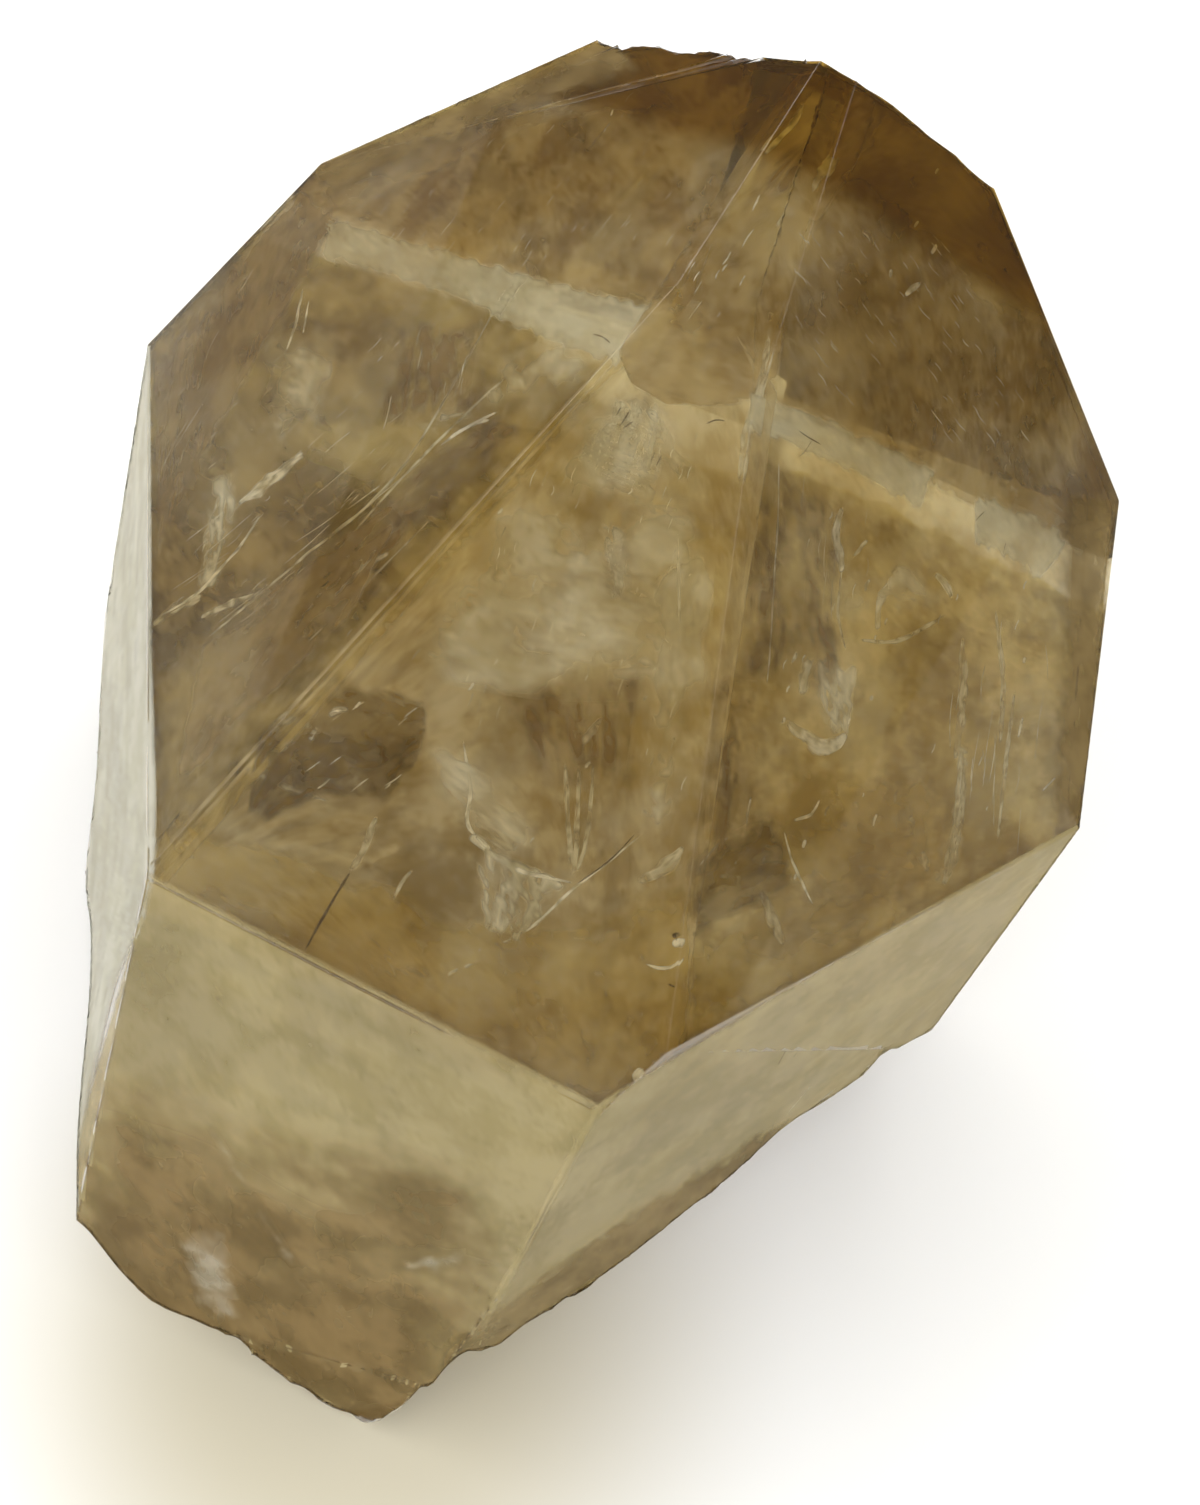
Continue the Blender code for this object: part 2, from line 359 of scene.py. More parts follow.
# ---------------------------------------------------------------------------------------------
# Cracks. Thin pale fractures inside the crystal, where it was strained, each a flat sliver with
# ragged ends. They are placed by where the camera sees them through the crystal's skin, in a
# frame 1200 wide and 1505 high, and by their depth under it in millimetres.
# ---------------------------------------------------------------------------------------------
FRAME_WIDTH = 1200
FRAME_HEIGHT = 1505
CRACK_WHITE = (0.97, 0.96, 0.90, 1)
WISP_CREAM = (0.82, 0.78, 0.62, 1)
BRIGHT_CRACKS = [
    # width, depth, places along it
    (2.20, 0.8, [(304, 454), (283, 470), (262, 487), (238, 504)]),
    (0.59, 1.0, [(262, 512), (240, 546), (215, 574), (194, 596), (160, 616)]),
    (0.49, 1.0, [(440, 446), (462, 430), (497, 412)]),
    (0.39, 1.0, [(450, 436), (474, 424), (490, 420)]),
    (0.51, 1.0, [(303, 288), (295, 325), (286, 352)]),
    (0.31, 1.0, [(309, 300), (303, 334)]),
    (0.39, 1.0, [(256, 268), (241, 281), (225, 294)]),
    (0.98, 1.2, [(341, 588), (366, 567), (389, 553)]),
    (0.27, 1.0, [(678, 533), (679, 590), (680, 645)]),
    (0.27, 1.0, [(779, 458), (778, 520), (774, 580), (770, 650), (767, 684)]),
    (0.47, 1.2, [(317, 728), (309, 741), (299, 750)]),
    (0.66, 1.2, [(349, 710), (338, 711), (328, 716)]),
    (0.43, 1.0, [(463, 740), (470, 790), (467, 820), (475, 836)]),
    (0.43, 1.0, [(475, 836), (500, 860), (525, 872), (573, 883)]),
    (0.88, 1.0, [(469, 836), (479, 843), (491, 852)]),
    (0.31, 1.2, [(640, 836), (602, 867), (573, 889), (533, 926), (500, 944)]),
    (0.35, 1.0, [(413, 869), (402, 883), (393, 901)]),
    (1.46, 1.2, [(786, 721), (801, 735), (820, 746), (838, 745), (846, 733)]),
    (1.08, 1.2, [(843, 507), (836, 530), (839, 556), (843, 572)]),
    (0.98, 1.2, [(895, 577), (881, 598), (877, 631)]),
    (0.98, 1.2, [(934, 574), (945, 584), (952, 599)]),
    (0.43, 1.0, [(868, 540), (853, 557)]),
    (0.39, 1.0, [(820, 799), (811, 814), (793, 821)]),
    (0.31, 1.0, [(784, 831), (792, 860), (805, 889), (813, 905)]),
    (0.39, 1.0, [(751, 797), (746, 826)]),
    (0.27, 1.0, [(699, 866), (715, 848), (729, 837)]),
    (0.47, 1.0, [(1023, 717), (1018, 738)]),
    (0.27, 1.0, [(1056, 777), (1042, 791)]),
    (0.59, 1.0, [(804, 102), (795, 121), (780, 138), (764, 155)]),
    (0.39, 0.6, [(919, 221), (914, 228)]),
    (0.47, 0.6, [(937, 244), (931, 254)]),
    (0.43, 0.6, [(892, 269), (890, 278)]),
    (0.70, 0.8, [(921, 283), (911, 289), (905, 296)]),
    (0.35, 0.5, [(939, 168), (935, 174)]),
    (0.27, 0.5, [(613, 109), (611, 116)]),
    (0.78, 0.6, [(684, 938), (678, 943), (672, 941)]),
    (0.35, 0.5, [(645, 964), (660, 968), (674, 965), (684, 957)]),
    (0.78, 0.3, [(643, 1068), (637, 1077), (641, 1080)]),
    (0.23, 0.2, [(798, 985), (788, 1002), (775, 1018)]),
    (0.20, 0.2, [(208, 908), (232, 922), (262, 936)]),
]
WISPS = [
    (1.68, 1.6, [(229, 478), (222, 503), (209, 540), (206, 574)]),
    (1.40, 1.5, [(152, 626), (175, 608), (202, 597)]),
    (0.98, 1.5, [(200, 618), (228, 604), (260, 593)]),
    (0.42, 1.2, [(520, 365), (470, 410), (400, 480), (330, 560)]),
    (0.31, 1.2, [(430, 520), (370, 580), (300, 650)]),
    (0.49, 1.2, [(500, 300), (400, 470), (300, 560), (205, 640)]),
    (0.56, 1.5, [(245, 768), (275, 782), (300, 792), (327, 801)]),
    (0.63, 1.5, [(268, 728), (286, 716), (300, 722), (312, 727)]),
    (1.68, 2.0, [(252, 830), (300, 815), (345, 817), (385, 827)]),
    (1.26, 2.0, [(268, 842), (320, 851), (362, 859), (404, 846)]),
    (0.70, 1.5, [(377, 816), (363, 850), (350, 872)]),
    (2.10, 1.2, [(505, 925), (458, 958), (440, 985), (404, 1008)]),
    (0.49, 1.5, [(565, 762), (569, 830), (572, 876)]),
    (0.49, 1.5, [(579, 765), (577, 830), (574, 874)]),
    (0.42, 1.5, [(593, 764), (588, 830), (577, 872)]),
    (0.70, 1.5, [(602, 718), (588, 735), (573, 752)]),
    (0.98, 1.2, [(606, 536), (612, 560), (620, 580)]),
    (1.26, 1.2, [(683, 846), (662, 869), (638, 882)]),
    (2.24, 1.4, [(826, 656), (838, 690), (836, 735)]),
    (1.68, 1.2, [(812, 655), (806, 675), (802, 695)]),
    (1.68, 1.2, [(962, 748), (960, 800), (953, 850), (944, 886)]),
    (1.26, 1.2, [(962, 638), (963, 700), (955, 760)]),
    (1.26, 1.4, [(910, 815), (920, 850), (928, 872)]),
    (1.26, 1.2, [(760, 890), (772, 920), (784, 945)]),
    (1.26, 1.0, [(873, 118), (826, 165), (800, 195), (778, 230)]),
    (0.70, 1.0, [(772, 318), (762, 375), (748, 440), (744, 485)]),
    (0.84, 1.2, [(995, 610), (1003, 680), (1000, 745)]),
    (0.70, 1.2, [(1015, 690), (1005, 770), (998, 840)]),
    (0.49, 1.2, [(860, 640), (900, 640), (945, 615)]),
    (0.35, 1.2, [(842, 570), (838, 612), (846, 650)]),
    (0.84, 1.0, [(212, 1132), (240, 1180), (262, 1222), (300, 1292)]),
    (0.70, 1.0, [(356, 1145), (385, 1190), (405, 1225)]),
    (1.54, 0.8, [(405, 1268), (432, 1262), (460, 1258)]),
    (0.84, 0.8, [(560, 1232), (600, 1205), (650, 1178)]),
    (1.26, 0.6, [(712, 1133), (700, 1142), (688, 1152)]),
    (0.70, 0.6, [(640, 1225), (720, 1172), (790, 1122)]),
]
SCRATCHES = [
    (0.14, 0.10, [(621, 407), (616, 416)]),
    (0.14, 0.10, [(630, 410), (624, 420), (618, 428)]),
    (0.14, 0.10, [(634, 421), (622, 429)]),
    (0.12, 0.10, [(655, 452), (651, 461)]),
    (0.12, 0.10, [(662, 455), (656, 466)]),
    (0.14, 0.10, [(706, 424), (716, 420), (726, 421)]),
    (0.14, 0.10, [(798, 430), (808, 437), (822, 445)]),
    (0.12, 0.10, [(812, 440), (806, 450), (799, 457)]),
    (0.16, 0.10, [(592, 334), (603, 337), (611, 344)]),
    (0.12, 0.10, [(985, 511), (979, 517), (975, 522)]),
    (0.10, 0.10, [(1006, 542), (1003, 555)]),
    (0.12, 0.10, [(506, 526), (501, 537)]),
    (0.12, 0.10, [(265, 404), (272, 401)]),
    (0.14, 0.10, [(340, 1045), (352, 1055), (367, 1063), (380, 1070)]),
    (0.30, 0.30, [(350, 872), (330, 905), (305, 950)]),
    (0.16, 0.30, [(635, 834), (610, 860), (577, 884)]),
    (0.14, 0.10, [(590, 1190), (618, 1186), (645, 1172), (672, 1153)]),
    (0.10, 0.10, [(640, 1178), (632, 1192), (622, 1207)]),
    (0.16, 0.10, [(938, 906), (920, 945), (890, 985), (862, 1030)]),
    (0.20, 0.10, [(905, 930), (862, 972), (812, 1010), (790, 1045), (768, 1085)]),
    (0.14, 0.10, [(870, 962), (840, 985), (806, 1022)]),
    (0.12, 0.10, [(800, 1050), (785, 1070), (765, 1100)]),
    (0.12, 0.10, [(556, 1093), (566, 1103), (574, 1106)]),
    (0.10, 0.10, [(575, 1098), (590, 1105)]),
    (0.12, 0.10, [(584, 1116), (592, 1120), (588, 1128)]),
    (0.12, 0.10, [(591, 1114), (600, 1118), (596, 1124)]),
    (0.12, 0.10, [(580, 1142), (590, 1146), (582, 1150)]),
    (0.12, 0.10, [(568, 1160), (578, 1158), (572, 1166)]),
    (0.12, 0.06, [(598, 1118), (585, 1152), (570, 1180)]),
    (0.12, 0.06, [(570, 1180), (555, 1215), (532, 1250)]),
    (0.12, 0.06, [(520, 1258), (500, 1282), (482, 1303)]),
    (0.45, 0.05, [(672, 936), (681, 934)]),
    (0.34, 0.05, [(550, 1164), (557, 1163)]),
    (0.16, 0.10, [(668, 984), (675, 987)]),
    (0.14, 0.10, [(612, 120), (580, 160)]),
    (0.30, 0.20, [(1088, 500), (1082, 600), (1076, 700), (1068, 800)]),
]
SCRATCH_BROWN = (0.11, 0.07, 0.02, 1)
WISP_TAN = (0.55, 0.47, 0.30, 1)
STRAWS = [
    # how many, longest, width, depth, slope of the run, and the four corners of the field
    (18, 90, 0.13, 0.9, (0.80, -0.60), [(160, 560), (330, 430), (430, 470), (250, 690)]),
    (14, 60, 0.10, 1.0, (0.45, -0.90), [(160, 520), (190, 330), (330, 200), (270, 330)]),
    (16, 80, 0.14, 1.0, (0.05, -1.00), [(950, 640), (1050, 640), (1040, 840), (950, 880)]),
    (10, 50, 0.10, 1.0, (0.10, -1.00), [(790, 480), (900, 520), (890, 620), (790, 600)]),
    (12, 40, 0.12, 1.0, (0.20, -0.98), [(400, 330), (480, 330), (470, 410), (380, 430)]),
    (12, 26, 0.12, 0.8, (0.50, -0.86), [(690, 270), (760, 180), (760, 260), (700, 360)]),
    (10, 30, 0.14, 0.8, (0.80, -0.60), [(330, 700), (420, 700), (400, 800), (300, 790)]),
    (12, 14, 0.24, 0.9, (0.60, -0.80), [(300, 640), (640, 420), (680, 840), (480, 860)]),
    (30, 14, 0.35, 0.9, (0.30, -0.95), [(790, 500), (1040, 560), (1030, 820), (760, 900)]),
    (60, 22, 0.08, 0.7, (0.60, -0.80), [(360, 170), (660, 80), (680, 280), (380, 250)]),
    (70, 22, 0.08, 0.7, (0.60, 0.80), [(790, 230), (960, 240), (1060, 480), (780, 380)]),
    (60, 26, 0.09, 0.9, (0.70, -0.70), [(170, 350), (460, 320), (330, 600), (170, 700)]),
    (60, 22, 0.09, 0.9, (0.30, -0.95), [(520, 480), (720, 420), (690, 800), (420, 720)]),
]
STRAW_SEED = 7
STRAW_REACH = (0.15, 0.5)
STRAW_TILT = 0.12
STRAW_BOW = 2
STRAW_WIDTHS = (0.5, 1.3)
STRAW_DEPTHS = (0.6, 1.4)
MISS_STEP = 0.005
PULL_IN = 0.01
THIN_CRACK = 0.3
LEAST_WIDE = 0.4
LEAST_THIN = 0.6
LOOK_ALONG = 0.03
TAPER_START = 0.04
TAPER_SPAN = 0.92
TAPER_BLUNT = 0.6
RAGS = 900
RAG_DRIFT = 3
RAG_MIDDLE = 0.8
RAG_SWING = 0.6
RAG_LEAST = 0.15
CRUMPLES = 1500
CRUMPLE_DRIFT = 5
CRUMPLE_SHARE = 0.12
END_FADE = 0.08
SIDE_FADE = 0.18
LUMP_SIZE = 0.8 * MM
LUMP_NOISE = (0.8, 2.0, 4)
LUMP_MIDDLE = 0.55
LUMP_CONTRAST = 1.2
CRACK_CELL = 0.35 * MM
CRACK_COLUMNS = (6, 48)
CRACK_ROWS = 5
ROWS_PER_MM = 3
FILM_ROUGHNESS = 0.6
FILM_SHINE = 0.2


def sight_at(x, y):
    """The way from the camera through x, y of the frame."""
    focal = camera.data.lens / camera.data.sensor_width * FRAME_HEIGHT
    right, up = x - FRAME_WIDTH / 2, FRAME_HEIGHT / 2 - y
    return (camera.matrix_world.to_3x3() @ Vector((right, up, -focal))).normalized()


def bent_in(sight, outward):
    """The way that sight goes on inside the crystal."""
    facing = -sight.dot(outward)
    bend = 1 / QUARTZ_IOR
    return bend * sight + (bend * facing - math.sqrt(1 - bend ** 2 * (1 - facing ** 2))) * outward


def seen_at(x, y, depth):
    """What the camera sees at x, y: the place depth mm inside, and the way out of the skin.

    A point that just misses the crystal is drawn in towards the middle of the frame.
    """
    found = False
    while not found:
        sight = sight_at(x, y)
        found, place, outward, _ = crystal.ray_cast(CAMERA_PLACE, sight)
        x += (FRAME_WIDTH / 2 - x) * MISS_STEP
        y += (FRAME_HEIGHT / 2 - y) * MISS_STEP
    return place + bent_in(sight, outward) * depth * MM, outward


def under_face(spot, depth, middle, skin, outward):
    """The place depth mm under the flat face through skin, as seen at spot.

    Where that is outside the crystal, spot is drawn in towards the middle.
    """
    within = False
    while not within:
        sight = sight_at(spot.x, spot.y)
        reach = (skin - CAMERA_PLACE).dot(outward) / sight.dot(outward)
        place = CAMERA_PLACE + sight * reach + bent_in(sight, outward) * depth * MM
        within = crystal.ray_cast(place, sight)[0] and crystal.ray_cast(place, -sight)[0]
        spot = spot.lerp(middle, PULL_IN)
    return place


def along(points, share):
    """A place on a smooth line through points; share runs from 0 to 1."""
    run = share * (len(points) - 1)
    at = min(int(run), len(points) - 2)
    before, start = points[max(at - 1, 0)], points[at]
    end, after = points[at + 1], points[min(at + 2, len(points) - 1)]
    t = run - at
    bow = (end - before) * (t * (1 - t) ** 2) - (after - start) * (t * t * (1 - t))
    return start + (end - start) * (t * t * (3 - 2 * t)) + bow * 0.5


def eased(value):
    """0 below 0, 1 above 1, and a smooth step between."""
    value = min(max(value, 0.0), 1.0)
    return value * value * (3 - 2 * value)


def lay_film(columns, rows, place_at, film_at):
    """A grid laid by place_at(u, v); film_at(u, v, place) gives its film and mottle attributes."""
    bpy.ops.object.select_all(action="DESELECT")
    bpy.ops.mesh.primitive_grid_add(x_subdivisions=columns, y_subdivisions=rows, size=1)
    grid = bpy.context.object
    grid.data.attributes.new("film", "FLOAT", "POINT")
    grid.data.attributes.new("mottle", "FLOAT", "POINT")
    film, mottle = grid.data.attributes["film"].data, grid.data.attributes["mottle"].data
    for at, vert in enumerate(grid.data.vertices):
        u, v = vert.co.x + 0.5, vert.co.y + 0.5
        vert.co = place_at(u, v)
        film[at].value, mottle[at].value = film_at(u, v, vert.co)
    return grid


def sliver(width, depth, places):
    """A thin flat crack through places, pointed at both ends, about parallel to the skin above it."""
    seen = [seen_at(x, y, depth) for x, y in places]
    points = [place for place, outward in seen]
    outward = seen[len(seen) // 2][1]
    least = LEAST_WIDE if width > THIN_CRACK else LEAST_THIN
    length = sum((b - a).length for a, b in zip(points, points[1:]))

    def place_at(u, v):
        here = along(points, u)
        onward = along(points, min(u + LOOK_ALONG, 1)) - along(points, max(u - LOOK_ALONG, 0))
        across = onward.normalized().cross(outward).normalized()
        taper = math.sin(math.pi * (TAPER_START + TAPER_SPAN * u)) ** TAPER_BLUNT
        ragged = RAG_MIDDLE + RAG_SWING * noise.noise(here * RAGS + Vector((v * RAG_DRIFT, 0, 0)))
        crumpled = noise.noise(here * CRUMPLES + across * v * CRUMPLE_DRIFT)
        crumple = outward * CRUMPLE_SHARE * width * MM * crumpled
        return here + crumple + across * (v - 0.5) * width * MM * taper * max(ragged, RAG_LEAST)

    def film_at(u, v, here):
        edge = eased(min(u, 1 - u) / END_FADE) * eased(min(v, 1 - v) / SIDE_FADE)
        lumps = eased(LUMP_MIDDLE + LUMP_CONTRAST * noise.fractal(here / LUMP_SIZE, *LUMP_NOISE))
        return edge * (least + (1 - least) * lumps), lumps

    fewest, most = CRACK_COLUMNS
    columns = max(fewest, min(most, int(length / CRACK_CELL)))
    return lay_film(columns, CRACK_ROWS + int(width * ROWS_PER_MM), place_at, film_at)


def straws(count, longest, width, depth, slope, corners):
    """A field of hair-thin cracks that run the same way."""
    pieces = []
    for _ in range(count):
        u, v = chance.random(), chance.random()
        top = Vector(corners[0]).lerp(Vector(corners[1]), u)
        bottom = Vector(corners[3]).lerp(Vector(corners[2]), u)
        middle = top.lerp(bottom, v)
        reach = longest * chance.uniform(*STRAW_REACH)
        run = Vector((slope[0] + chance.uniform(-STRAW_TILT, STRAW_TILT), slope[1])) * reach
        bow = Vector((chance.uniform(-STRAW_BOW, STRAW_BOW), 0))
        places = [middle - run, middle + bow, middle + run]
        breadth = width * chance.uniform(*STRAW_WIDTHS)
        pieces.append(sliver(breadth, depth * chance.uniform(*STRAW_DEPTHS), places))
    return pieces


def join_as(pieces, name):
    """Joins pieces into one and names it."""
    bpy.ops.object.select_all(action="DESELECT")
    for piece in pieces:
        piece.select_set(True)
    bpy.context.view_layer.objects.active = pieces[0]
    bpy.ops.object.join()
    joined = bpy.context.object
    joined.name = name
    bpy.ops.object.shade_smooth()
    return joined


def film_material(name, dark, pale, thickest):
    """A film of tiny bubbles or dust, or a sheet of painted light and shade, as dense as its film attribute
    says and mottled.
    """
    material = bpy.data.materials.new(name)
    material.use_nodes = True
    tree = material.node_tree
    surface = tree.nodes["Principled BSDF"]
    surface.inputs["Roughness"].default_value = FILM_ROUGHNESS
    surface.inputs["Specular IOR Level"].default_value = FILM_SHINE
    film = tree.nodes.new("ShaderNodeAttribute")
    film.attribute_name = "film"
    tree.links.new(sum_of(tree, "MULTIPLY", film.outputs["Fac"], thickest), surface.inputs["Alpha"])
    mottle = tree.nodes.new("ShaderNodeAttribute")
    mottle.attribute_name = "mottle"
    tree.links.new(blend(tree, mottle.outputs["Fac"], dark, pale), surface.inputs["Base Color"])
    return material


def inside(pieces, name, material):
    """Joins pieces inside the crystal, gives them their material and ties them to it."""
    joined = join_as(pieces, name)
    joined.data.materials.append(material)
    joined.visible_diffuse = False
    joined.visible_shadow = False
    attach(joined, "root")


bpy.context.view_layer.update()
chance = random.Random(STRAW_SEED)
inside([sliver(*crack) for crack in BRIGHT_CRACKS], "bright_cracks",
       film_material("white_film", WISP_CREAM, CRACK_WHITE, 1.0))
inside([sliver(*wisp) for wisp in WISPS], "pale_wisps",
       film_material("cream_film", WISP_TAN, WISP_CREAM, 0.85))
inside([sliver(*scratch) for scratch in SCRATCHES], "brown_scratches",
       film_material("brown_film", SCRATCH_BROWN, SCRATCH_BROWN, 1.0))
inside(sum([straws(*field) for field in STRAWS], []), "hair_cracks",
       film_material("straw_film", WISP_CREAM, CRACK_WHITE, 0.8))


# ---------------------------------------------------------------------------------------------
# Veils, smoke and painted light. Haze fills the crystal's body, in sheets under each face: painted shade
# under the tip and left face, and painted light under the middle and right faces. Pale panes along the bright
# bands are painted light, for the pale table seen through the crystal. With milky and tan veils, amber growth
# and brown smoke in it, thin dust on its sides, brown along two outlines, and painted shade at the foot of
# its sides. Each is a mottled sheet between two lines, streaked along them: inside at a depth in millimetres,
# or just outside the skin.
# ---------------------------------------------------------------------------------------------
SHEET_CELL = 0.36 * MM
MOST_CELLS = 140
SPARE_CELLS = 4
# Painted shade: haze under the tip faces, darker than under the middle and right faces.
TIP_HAZE_PAINTED_SHADE = [
    # depth, then the two lines
    (1.2, [(280, 170), (420, 90), (580, 25), (776, 20)], [(318, 236), (440, 262), (540, 288), (684, 312)]),
    (1.2, [(606, 368), (650, 292), (704, 205), (768, 52)], [(668, 404), (770, 392), (796, 260), (906, 104)]),
    (1.2, [(772, 40), (915, 90), (1030, 180), (1080, 330), (1115, 500)],
     [(756, 396), (850, 445), (925, 485), (1000, 520), (1105, 560)]),
]
# Painted shade: haze under the left face, darker than under the middle face.
LEFT_HAZE_PAINTED_SHADE = [
    (1.6, [(290, 175), (135, 345), (135, 620), (136, 880)], [(687, 291), (513, 483), (339, 677), (158, 879)]),
]
# Painted light: haze under the middle face, paler than under the left face.
MIDDLE_HAZE_PAINTED_LIGHT = [
    (1.6, [(150, 872), (330, 672), (505, 478), (600, 376), (684, 290), (777, 390)],
     [(150, 886), (330, 978), (470, 1050), (556, 1094), (603, 1118), (673, 1054)]),
]
# Painted light: haze under the right face, the palest.
RIGHT_HAZE_PAINTED_LIGHT = [
    (1.6, [(771, 390), (735, 615), (698, 846), (663, 1056)],
     [(1115, 520), (1105, 640), (1095, 740), (1085, 850)]),
]
# Painted light: pale panes along the bright bands, standing in for the pale table seen through the crystal.
BAND_PAINTED_LIGHT = [
    (0.9, [(326, 214), (430, 242), (532, 274)], [(318, 260), (420, 290), (500, 320)]),
    (0.9, [(515, 270), (590, 288), (656, 305)], [(488, 316), (540, 342), (612, 368)]),
    (0.9, [(752, 386), (850, 425), (938, 468)], [(746, 434), (840, 470), (920, 514)]),
    (0.9, [(974, 489), (1030, 510), (1076, 536)], [(974, 546), (1010, 564), (1038, 586)]),
]
BROKEN_PANES = [
    (1.1, [(204, 480), (202, 540), (194, 594)], [(242, 468), (236, 532), (216, 590)]),
    (1.0, [(470, 836), (478, 880), (482, 930)], [(574, 886), (548, 916), (518, 946)]),
    (1.2, [(806, 650), (812, 690), (822, 722)], [(864, 668), (858, 706), (850, 740)]),
    (1.2, [(952, 742), (950, 800), (920, 878)], [(974, 748), (972, 810), (960, 890)]),
    (1.0, [(610, 392), (596, 420), (566, 460)], [(668, 412), (672, 440), (650, 500)]),
    (1.1, [(596, 520), (600, 560), (606, 600)], [(628, 524), (632, 560), (630, 602)]),
    (1.1, [(412, 420), (440, 410), (470, 404)], [(424, 440), (450, 430), (480, 418)]),
]
PALE_CLOUDS = [
    (1.0, [(254, 310), (312, 312), (368, 322)], [(220, 450), (280, 445), (336, 448)]),
    (1.0, [(480, 318), (550, 335), (612, 352)], [(466, 425), (500, 440), (530, 442)]),
    (1.0, [(570, 400), (622, 366), (670, 392), (716, 440)], [(490, 520), (590, 540), (640, 540), (712, 540)]),
    (1.1, [(530, 470), (600, 490), (716, 500)], [(370, 670), (540, 700), (700, 700)]),
    (1.0, [(636, 600), (630, 740), (600, 860)], [(716, 520), (710, 700), (700, 845)]),
    (1.0, [(400, 735), (440, 800), (486, 850)], [(450, 735), (520, 790), (572, 880)]),
    (0.8, [(160, 900), (300, 960), (430, 1025)], [(150, 1010), (260, 1050), (380, 1110)]),
    (0.8, [(380, 1060), (480, 1085), (590, 1125)], [(390, 1200), (460, 1235), (540, 1240)]),
    (0.8, [(880, 945), (970, 895), (1058, 850)], [(900, 1000), (950, 975), (990, 935)]),
    (1.0, [(826, 550), (890, 550), (960, 556)], [(836, 620), (900, 640), (965, 645)]),
    (1.0, [(880, 660), (885, 740), (880, 830)], [(950, 650), (952, 740), (940, 830)]),
]
PALE_SPOTS = [
    (-0.08, [(176, 1234), (200, 1228), (226, 1230)], [(196, 1306), (218, 1320), (244, 1318)]),
    (-0.08, [(402, 1258), (434, 1250), (466, 1248)], [(404, 1276), (434, 1276), (466, 1270)]),
    (-0.08, [(206, 1126), (250, 1206), (304, 1296)], [(214, 1124), (262, 1200), (314, 1290)]),
]
TAN_PANES = [
    (0.4, [(312, 172), (430, 108), (560, 48), (640, 44)], [(330, 222), (440, 180), (560, 130), (690, 120)]),
    (0.6, [(725, 120), (780, 60), (840, 62)], [(740, 170), (800, 120), (872, 108)]),
    (0.6, [(200, 640), (300, 560), (420, 480)], [(170, 800), (250, 720), (350, 620)]),
    (0.9, [(158, 560), (240, 400), (345, 215)], [(152, 350), (226, 262), (300, 188)]),
]
AMBER_ZONES = [
    (1.1, [(140, 790), (290, 850), (450, 900), (600, 900), (692, 850)],
     [(145, 896), (330, 985), (470, 1056), (603, 1126), (694, 1058)]),
    (1.1, [(680, 930), (780, 900), (900, 870)], [(674, 1062), (790, 1005), (910, 945)]),
    (1.1, [(790, 740), (860, 760), (950, 770)], [(750, 900), (830, 900), (940, 890)]),
    (0.8, [(836, 190), (890, 235), (1000, 330)], [(880, 85), (975, 140), (1080, 330)]),
]
SMOKE_CLOUDS = [
    (1.0, [(378, 312), (370, 370), (360, 438)], [(490, 316), (492, 365), (488, 412)]),
    (0.7, [(536, 430), (448, 530), (335, 655)], [(480, 400), (390, 480), (300, 600)]),
    (1.0, [(154, 580), (235, 410), (342, 210)], [(150, 345), (225, 258), (298, 182)]),
    (1.0, [(732, 218), (750, 180), (778, 148)], [(800, 200), (830, 160), (868, 112)]),
    (1.0, [(592, 465), (586, 540), (588, 612)], [(642, 468), (638, 540), (646, 612)]),
    (0.8, [(208, 934), (236, 936), (264, 945)], [(226, 970), (260, 978), (294, 978)]),
    (0.9, [(490, 690), (500, 740), (520, 800)], [(655, 660), (650, 720), (640, 790)]),
    (0.9, [(386, 806), (430, 860), (474, 928)], [(436, 828), (466, 860), (488, 920)]),
    (1.0, [(780, 470), (776, 600), (800, 700)], [(850, 500), (850, 600), (850, 690)]),
    (0.8, [(742, 440), (732, 560), (716, 692)], [(806, 470), (806, 570), (800, 690)]),
    (0.8, [(712, 680), (702, 780), (688, 880)], [(776, 680), (776, 760), (764, 850)]),
]
SMOKE_PANES = [
    (1.2, [(246, 816), (262, 730), (345, 680), (430, 700)], [(262, 826), (330, 800), (385, 806), (430, 745)]),
    (1.0, [(288, 750), (300, 748), (324, 750)], [(292, 790), (306, 792), (320, 788)]),
    (0.8, [(690, 862), (730, 832), (776, 812)], [(688, 946), (740, 920), (802, 884)]),
]
# The first is painted shade along the foot of the right side; the others darken the right and top-left
# outlines.
BROWN_EDGES_AND_FOOT_SHADE = [
    (-0.06, [(440, 1345), (620, 1215), (800, 1106)], [(430, 1425), (600, 1340), (710, 1270)]),
    (-0.05, [(1060, 490), (1058, 640), (1050, 810)], [(1120, 500), (1112, 640), (1100, 840)]),
    (-0.05, [(300, 160), (416, 104), (520, 58), (612, 14)], [(330, 200), (438, 150), (540, 108), (650, 84)]),
]
# Painted shade: the front side darkens towards its foot by the table.
FOOT_PAINTED_SHADE = [
    (-0.045, [(80, 1030), (290, 1100), (520, 1150)], [(50, 1310), (220, 1470), (480, 1450)]),
    (-0.06, [(40, 1090), (200, 1140), (330, 1210), (520, 1270)],
     [(40, 1300), (160, 1400), (300, 1470), (440, 1470)]),
]
TAN_DUST = [
    (-0.03, [(594, 1104), (860, 944), (1084, 820)], [(444, 1388), (760, 1190), (1074, 890)]),
    (-0.03, [(150, 872), (370, 984), (606, 1106)], [(50, 1235), (250, 1410), (456, 1388)]),
]
PALE_DUST = [
    (-0.03, [(151, 340), (153, 620), (155, 880), (113, 1000), (65, 1225)],
     [(130, 360), (98, 600), (84, 790), (78, 940), (45, 1210)]),
]
